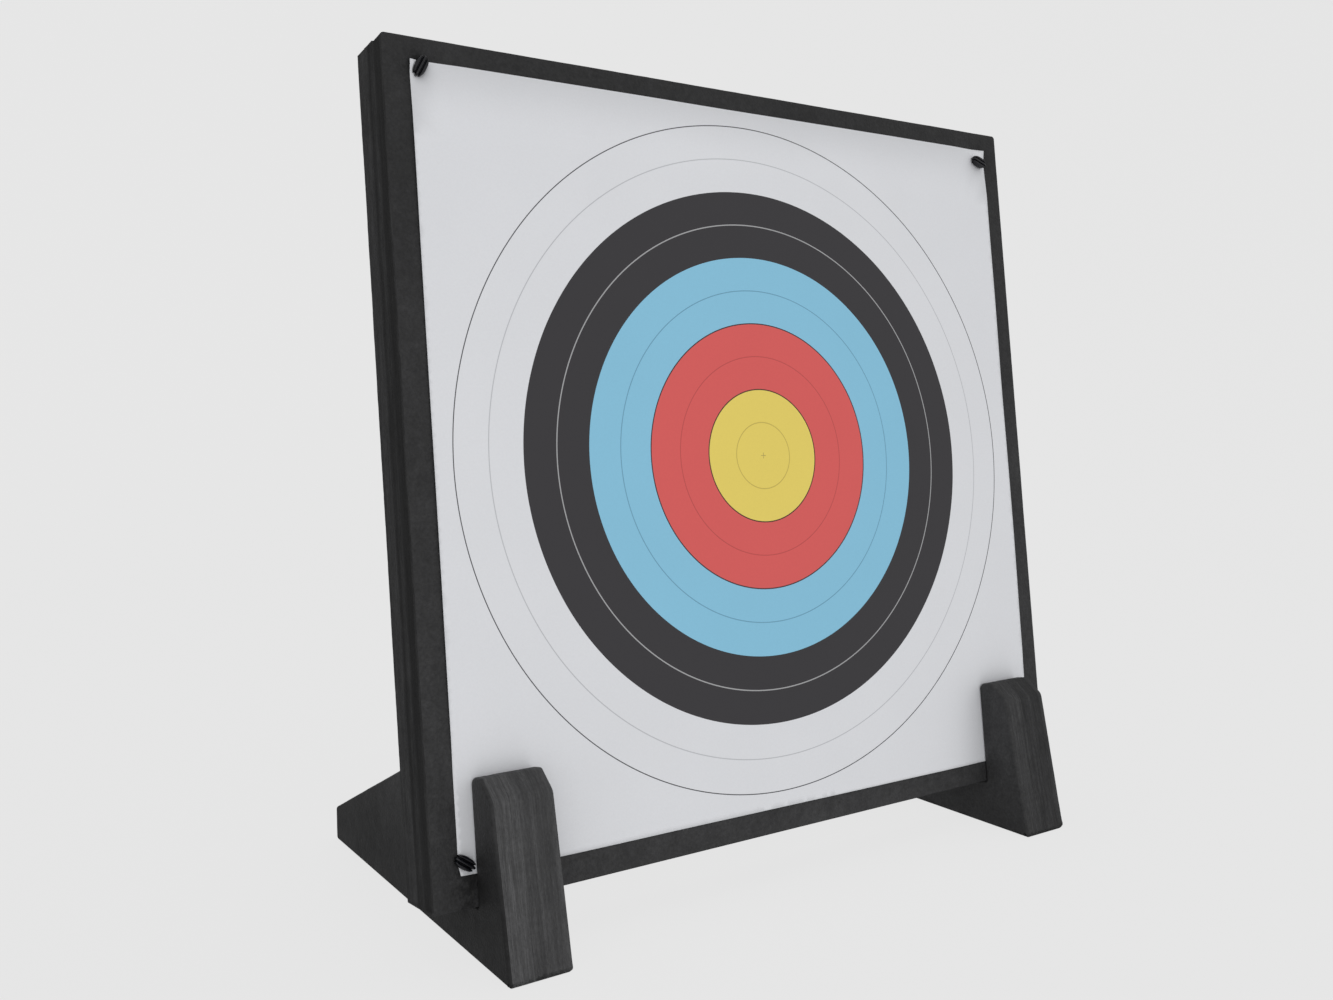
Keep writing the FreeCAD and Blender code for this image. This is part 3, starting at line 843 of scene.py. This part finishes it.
def make_paper():
    pts = [(x, float(paper_bottom(x))) for x in (PAPER_LEFT, PAPER_CORNER_X, PAPER_RIGHT)]
    pts += [(PAPER_RIGHT, PAPER_TOP), (PAPER_LEFT, PAPER_TOP)]
    loop = []
    for i in range(5):
        a, b = np.array(pts[i]), np.array(pts[(i + 1) % 5])
        k = max(2, int(round(np.hypot(*(b - a)) / 4.2)))
        loop += [a + (b - a) * j / k for j in range(k)]
    loop = np.array(loop)
    holes = [(x, y, PIN_HOLE_R, 14) for x, y, _ in PINS.values()]
    v2, tri, where, rings = fill(loop, holes, 6.0, 2.4, SEED)
    lift = paper_lift(v2[:, 0], v2[:, 1])
    front = np.column_stack([v2, PAPER_GAP + PAPER_T + lift])
    back = np.column_stack([v2, PAPER_GAP + 0.06 + lift])
    n = len(v2)
    F, M = [], []
    for a, b, c in tri:
        pa, pb, pc = v2[a], v2[b], v2[c]
        ccw = (pb[0] - pa[0]) * (pc[1] - pa[1]) - (pb[1] - pa[1]) * (pc[0] - pa[0]) > 0
        f = (a, b, c) if ccw else (c, b, a)
        F.append(f)
        M.append(0)
        F.append((f[2] + n, f[1] + n, f[0] + n))
        M.append(1)
    m = len(where)
    for i in range(m):
        a, b = where[i], where[(i + 1) % m]
        F.append((a, a + n, b + n, b))
        M.append(1)
    for ring in rings:
        k = len(ring)
        for i in range(k):
            a, b = ring[i], ring[(i + 1) % k]
            F.append((b, b + n, a + n, a))
            M.append(1)
    uv = np.concatenate([v2, v2]) * MM
    ob = make_object("paper_face_look", on_board(np.concatenate([front, back])), F, [mat_paper, mat_paper_back], M, {"plane": uv})
    me = ob.data
    return ob


paper = make_paper()
consistent(paper)
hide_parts("paper_target_face")
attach(paper, "target_board")


# ---------------------------------------------------------------- pins
def make_pin(name, px, py, turn):
    """one moulded pin as a stack of rings from the top of its ribbed head down to its point"""
    N = 192
    th = np.arange(N) * 2 * math.pi / N
    a, b = HEAD_L / 2, HEAD_W / 2
    z0 = PAPER_GAP + PAPER_T
    zb = z0 + COLLAR_H
    top = zb + HEAD_H
    # a long oval, blunter at its ends than an ellipse
    ex = a * np.sign(np.cos(th)) * np.abs(np.cos(th)) ** 0.86
    ey = (b - 0.2) * np.sign(np.sin(th)) * np.abs(np.sin(th)) ** 0.92

    def groove(y):
        return np.exp(-((np.abs(y) - 2.2) / 0.78) ** 2)

    # the three ribs end in lobes round the rim
    notch = 1 - 0.18 * groove(ey) * smooth01((np.abs(ex) - 5.0) / 4.5)
    ex, ey = ex * notch, ey * (1 - 0.03 * groove(ey))
    rad = np.hypot(ex, ey)
    rings = []
    fil = 2.6
    for s in np.concatenate([np.linspace(0.04, 0.62, 16), np.linspace(0.65, 1.0, 18)]):
        x, y = ex * s, ey * s
        d = rad * (1 - s)
        d = np.minimum(d, (b - 0.1) * (1 - s) * 1.25)
        drop = np.where(d < fil, fil - np.sqrt(np.maximum(fil * fil - (fil - d) ** 2, 0)), 0)
        # the middle rib stands highest, and each rib is round along its top
        rib = 0.55 * np.clip(np.abs(y) / b, 0, 1) ** 1.5
        cut = 2.4 * groove(y) * smooth01((a + 2.5 - np.abs(x)) / 3.0)
        rings.append(np.column_stack([x, y, top - np.maximum(drop, rib) - cut * (1 - 0.5 * (drop / fil))]))
    for k, zz in enumerate(np.linspace(top - fil - 0.3, zb + 0.8, 8)):
        g = 1 + 0.012 * math.sin(math.pi * k / 7)
        rings.append(np.column_stack([ex * g, ey * g, np.minimum(np.full(N, zz), rings[-1][:, 2] - 0.12)]))
    for k in range(1, 5):
        q = math.pi / 2 * k / 4
        ins = 0.7 * (1 - math.cos(q))
        sc = 1 - ins / rad
        rings.append(np.column_stack([ex * sc, ey * sc, np.full(N, zb + 0.7 * (1 - math.sin(q)))]))
    cx, cy = np.cos(th), np.sin(th)
    for f in (0.3, 0.65, 1.0):
        x = (ex * 0.86) * (1 - f) + COLLAR_R * 1.05 * cx * f
        y = (ey * 0.86) * (1 - f) + COLLAR_R * 1.05 * cy * f
        rings.append(np.column_stack([x, y, np.full(N, zb)]))
    for r, zz in ((COLLAR_R, zb - 0.12), (COLLAR_R, zb - 0.5), (COLLAR_R, z0 + 0.35), (COLLAR_R - 0.12, z0 + 0.10), (COLLAR_R - 0.35, z0 + 0.02),
                  (2.6, z0 + 0.02), (PIN_R + 0.02, z0 + 0.02), (PIN_R - 0.03, z0 - 0.1)):
        rings.append(np.column_stack([r * cx, r * cy, np.full(N, zz)]))
    for zz in np.linspace(-2.0, -PIN_LEN + PIN_TIP, 14):
        rings.append(np.column_stack([(PIN_R - 0.03) * cx, (PIN_R - 0.03) * cy, np.full(N, zz)]))
    for k in range(1, 7):
        q = k / 6
        r = (PIN_R - 0.03) * (1 - q) ** 0.85 + 0.28 * q
        rings.append(np.column_stack([r * cx, r * cy, np.full(N, -PIN_LEN + PIN_TIP * (1 - q) + 0.1 * q)]))
    V = np.concatenate(rings)
    centre_z = rings[0][:, 2].mean()
    V = np.vstack([V, [0, 0, top - 0.02], [0, 0, -PIN_LEN]])
    F = []
    R = len(rings)
    for k in range(R - 1):
        for i in range(N):
            j = (i + 1) % N
            F.append((k * N + i, (k + 1) * N + i, (k + 1) * N + j, k * N + j))
    for i in range(N):
        j = (i + 1) % N
        F.append((R * N, i, j))
        F.append((R * N + 1, (R - 1) * N + j, (R - 1) * N + i))
    t = math.radians(turn)
    c, s = math.cos(t), math.sin(t)
    x, y = V[:, 0] * c - V[:, 1] * s + px, V[:, 0] * s + V[:, 1] * c + py
    ob = make_object(name + "_look", on_board(np.column_stack([x, y, V[:, 2]])), F, [mat_pin])
    consistent(ob)
    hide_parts(name)
    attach(ob, name)
    return ob


for name, (x, y, turn) in PINS.items():
    make_pin(name, x, y, turn)


# ---------------------------------------------------------------- studio
FLOOR_GLOW = 0.750
FLOOR_ALBEDO = 0.060
KEY_W, TOP_W = 9.0, 6.0
WORLD_BASE = 0.600
WORLD_DIR = (0.06, -0.21, 0.07)


def make_studio():
    """round floor that curves up into a pale wall on every side"""
    prof = [(0.0, -0.0003), (0.4, -0.0003), (1.0, -0.0003), (2.0, -0.0003), (3.2, -0.0003)]
    R, c = 1.8, 3.2
    for k in range(1, 17):
        q = math.pi / 2 * k / 16
        prof.append((c + R * math.sin(q), R - R * math.cos(q)))
    prof += [(c + R, R + 1.2), (c + R, R + 3.0)]
    N = 96
    V = [(0.0, 0.0, -0.0003)]
    for r, zz in prof[1:]:
        for i in range(N):
            a = 2 * math.pi * i / N
            V.append((r * math.cos(a), r * math.sin(a), zz))
    F = []
    for i in range(N):
        F.append((0, 1 + i, 1 + (i + 1) % N))
    for k in range(len(prof) - 2):
        for i in range(N):
            j = (i + 1) % N
            a, b = 1 + k * N, 1 + (k + 1) * N
            F.append((a + i, b + i, b + j, a + j))
    m = Mat("studio_floor")
    g = FLOOR_ALBEDO
    m.put(m.bsdf.inputs["Base Color"], (g, g, g, 1.0))
    m.bsdf.inputs["Roughness"].default_value = 1.0
    m.bsdf.inputs["Specular IOR Level"].default_value = 0.0
    m.bsdf.inputs["Emission Color"].default_value = (1.0, 1.0, 1.0, 1.0)
    m.bsdf.inputs["Emission Strength"].default_value = FLOOR_GLOW
    ob = make_object("studio_floor", V, F, [m.m])
    # the soft light of the room comes from the world, so the pale wall itself adds none
    ob.visible_diffuse = False
    ob.visible_glossy = False
    return ob


make_studio()


def area_light(name, loc, target, size, power, colour=(1, 1, 1)):
    d = bpy.data.lights.new(name, "AREA")
    d.shape = "RECTANGLE"
    d.size, d.size_y = size
    d.energy = power
    d.color = colour
    o = bpy.data.objects.new(name, d)
    o.location = loc
    o.rotation_mode = "QUATERNION"
    o.rotation_quaternion = (Vector(target) - Vector(loc)).to_track_quat("-Z", "Y")
    bpy.context.scene.collection.objects.link(o)
    return o


area_light("key", (-1.1, -2.8, 0.9), (-0.1, -0.1, 0.35), (1.5, 1.5), KEY_W)
area_light("top", (0.2, 0.4, 3.2), (0, 0, 0.3), (2.4, 2.4), TOP_W)


def make_world():
    """even soft light, a little stronger from the front right and weaker from the left"""
    w = bpy.data.worlds.new("studio_world")
    w.use_nodes = True
    t = w.node_tree
    back = t.nodes["Background"]
    geo = t.nodes.new("ShaderNodeTexCoord")
    dot = t.nodes.new("ShaderNodeVectorMath")
    dot.operation = "DOT_PRODUCT"
    t.links.new(geo.outputs["Generated"], dot.inputs[0])
    dot.inputs[1].default_value = WORLD_DIR
    mul = t.nodes.new("ShaderNodeMath")
    mul.operation = "MULTIPLY_ADD"
    t.links.new(dot.outputs["Value"], mul.inputs[0])
    mul.inputs[1].default_value = 1.0
    mul.inputs[2].default_value = WORLD_BASE
    t.links.new(mul.outputs[0], back.inputs[1])
    back.inputs[0].default_value = (1.0, 1.0, 1.0, 1.0)
    bpy.context.scene.world = w


make_world()

# ---------------------------------------------------------------- camera
cam_data = bpy.data.cameras.new("camera")
cam_data.sensor_fit = "HORIZONTAL"
cam_data.sensor_width = 36.0
cam_data.lens = 32.88797533
cam_data.shift_x = -0.0066
cam_data.shift_y = -0.01559
cam_data.clip_start, cam_data.clip_end = 0.05, 60.0
cam = bpy.data.objects.new("camera", cam_data)
right = Vector((0.8339255756921047, -0.5517682461652524, -0.010951562916460877))
down = Vector((-0.03603269299729567, -0.03463538964402896, -0.9987502364553257))
fwd = Vector((0.5506993546772634, 0.8332779802130427, -0.04876503306794605))
rot = Matrix((right, -down, -fwd)).transposed()
cam.matrix_world = Matrix.Translation((-0.90054591546, -1.30961739028, 0.54749073989)) @ rot.to_4x4()
bpy.context.scene.collection.objects.link(cam)
bpy.context.scene.camera = cam

bpy.context.scene.view_settings.view_transform = "Standard"
bpy.context.scene.view_settings.look = "None"
bpy.context.scene.view_settings.exposure = 0.0
bpy.context.scene.view_settings.gamma = 1.0
